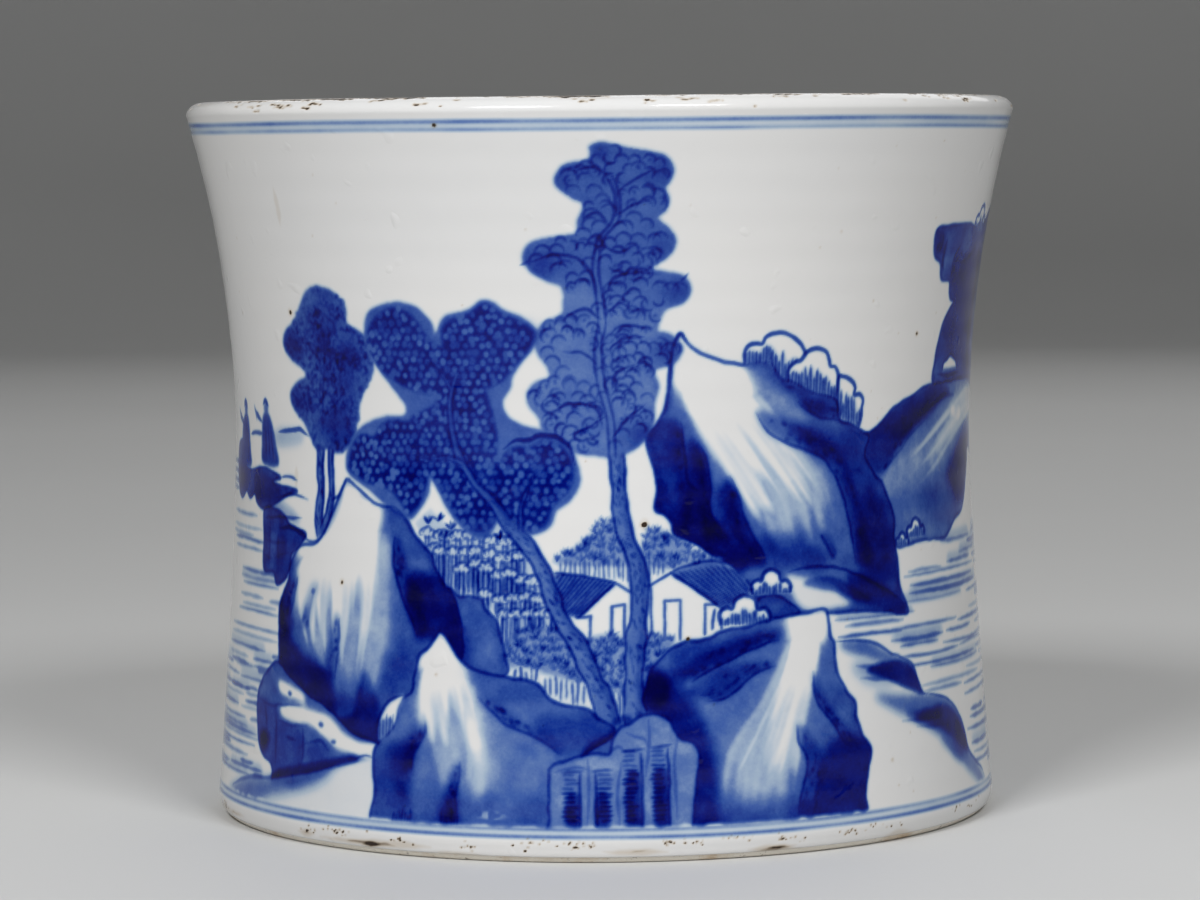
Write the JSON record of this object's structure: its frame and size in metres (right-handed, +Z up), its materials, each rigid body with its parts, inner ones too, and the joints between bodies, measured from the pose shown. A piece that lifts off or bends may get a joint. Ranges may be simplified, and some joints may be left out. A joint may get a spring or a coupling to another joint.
{
  "type": "brush holder pot",
  "caption": "Waisted round porcelain pot with a flared, rounded lip and a broad foot ring, open at the top, for standing writing brushes in.",
  "frame": {"origin": "centre of the foot, on the plane that the pot stands on", "axes": "+Z up along the axis of revolution; the painted front faces -Y"},
  "size_m": [0.185, 0.185, 0.1588],
  "materials": {
    "porcelain_clay": "unglazed fired porcelain, fine and slightly sandy, warm white with tan kiln staining at the foot",
    "painted_glaze": "glossy clear glaze over a cobalt blue brush-painted landscape, with small iron spots, pits and a worn, fritted lip",
    "plain_glaze": "glossy clear glaze on white porcelain, faintly blue-grey where it pools, with small pits and iron spots"
  },
  "bodies": {
    "root": {"wall": "porcelain_clay", "base_disc": "porcelain_clay", "outer_glaze": "painted_glaze", "inner_glaze": "plain_glaze", "base_glaze": "plain_glaze"}
  },
  "joints": []
}
